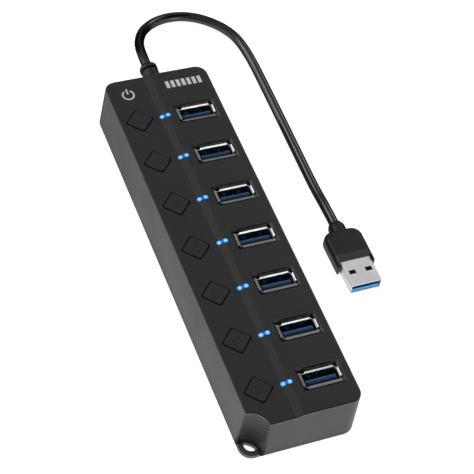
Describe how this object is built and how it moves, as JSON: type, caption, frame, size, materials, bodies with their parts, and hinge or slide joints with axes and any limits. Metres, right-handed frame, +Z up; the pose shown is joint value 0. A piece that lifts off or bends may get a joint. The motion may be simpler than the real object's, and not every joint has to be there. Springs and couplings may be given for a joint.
{
  "type": "usb hub",
  "caption": "Slim black desk hub with upright type A sockets, a push key and a lit window beside each, a lanyard eyelet at one corner, and a short fixed cord with a plug.",
  "frame": {"origin": "centre of the casing's outline, on the plane of the feet's undersides", "axes": "+Z up out of the sockets, +Y along the casing towards the end where the cord leaves, +X towards the sockets' side"},
  "size_m": [0.0753, 0.1993, 0.0195],
  "materials": {
    "casing": "fine moulded grain",
    "casing_plate": "fine moulded grain",
    "foot_rubber": "matte",
    "screw_steel": "black zinc",
    "board": "solder mask",
    "diode": "clear resin",
    "chip": "moulded epoxy",
    "crystal_can": "plated",
    "ceramic": "fired ceramic",
    "header_plastic": "moulded",
    "wire_sheath": "drawn",
    "cord_sheath": "glossy black",
    "soft_grip": "soft satin",
    "port_steel": "nickel plated",
    "port_blue": "moulded",
    "contact_gold": "gold flash",
    "switch_plastic": "moulded",
    "key_plastic": "fine moulded grain",
    "light_window": "clear, lit blue",
    "plug_steel": "bright nickel",
    "plug_blue": "moulded"
  },
  "bodies": {
    "hub": {"top_shell": "casing", "bottom_plate": "casing_plate", "rubber_feet": "foot_rubber", "case_screws": "screw_steel", "circuit_board": "board", "light_diodes": "diode", "hub_controllers": "chip", "crystals": "crystal_can", "voltage_regulator": "chip", "capacitors": "ceramic", "strain_relief": "soft_grip", "wire_header": "header_plastic", "inner_wires": "wire_sheath", "cord": "cord_sheath", "plug_overmould": "soft_grip", "plug_shell": "plug_steel", "plug_insulator": "plug_blue", "plug_contacts": "contact_gold", "port_shell_1": "port_steel", "port_tongue_1": "port_blue", "port_contacts_1": "contact_gold", "key_switch_1": "switch_plastic", "light_window_1": "light_window", "port_shell_2": "port_steel", "port_tongue_2": "port_blue", "port_contacts_2": "contact_gold", "key_switch_2": "switch_plastic", "light_window_2": "light_window", "port_shell_3": "port_steel", "port_tongue_3": "port_blue", "port_contacts_3": "contact_gold", "key_switch_3": "switch_plastic", "light_window_3": "light_window", "port_shell_4": "port_steel", "port_tongue_4": "port_blue", "port_contacts_4": "contact_gold", "key_switch_4": "switch_plastic", "light_window_4": "light_window", "port_shell_5": "port_steel", "port_tongue_5": "port_blue", "port_contacts_5": "contact_gold", "key_switch_5": "switch_plastic", "light_window_5": "light_window", "port_shell_6": "port_steel", "port_tongue_6": "port_blue", "port_contacts_6": "contact_gold", "key_switch_6": "switch_plastic", "light_window_6": "light_window", "port_shell_7": "port_steel", "port_tongue_7": "port_blue", "port_contacts_7": "contact_gold", "key_switch_7": "switch_plastic", "light_window_7": "light_window"},
    "key_1": {"key_cap_1": "key_plastic"},
    "key_2": {"key_cap_2": "key_plastic"},
    "key_3": {"key_cap_3": "key_plastic"},
    "key_4": {"key_cap_4": "key_plastic"},
    "key_5": {"key_cap_5": "key_plastic"},
    "key_6": {"key_cap_6": "key_plastic"},
    "key_7": {"key_cap_7": "key_plastic"}
  },
  "joints": [
    {"name": "key_1_press", "type": "slide", "parent": "hub", "child": "key_1", "axis": [0, 0, -1], "range_m": [0, 0.0015], "stiffness_N_per_m": 400},
    {"name": "key_2_press", "type": "slide", "parent": "hub", "child": "key_2", "axis": [0, 0, -1], "range_m": [0, 0.0015], "stiffness_N_per_m": 400},
    {"name": "key_3_press", "type": "slide", "parent": "hub", "child": "key_3", "axis": [0, 0, -1], "range_m": [0, 0.0015], "stiffness_N_per_m": 400},
    {"name": "key_4_press", "type": "slide", "parent": "hub", "child": "key_4", "axis": [0, 0, -1], "range_m": [0, 0.0015], "stiffness_N_per_m": 400},
    {"name": "key_5_press", "type": "slide", "parent": "hub", "child": "key_5", "axis": [0, 0, -1], "range_m": [0, 0.0015], "stiffness_N_per_m": 400},
    {"name": "key_6_press", "type": "slide", "parent": "hub", "child": "key_6", "axis": [0, 0, -1], "range_m": [0, 0.0015], "stiffness_N_per_m": 400},
    {"name": "key_7_press", "type": "slide", "parent": "hub", "child": "key_7", "axis": [0, 0, -1], "range_m": [0, 0.0015], "stiffness_N_per_m": 400}
  ]
}
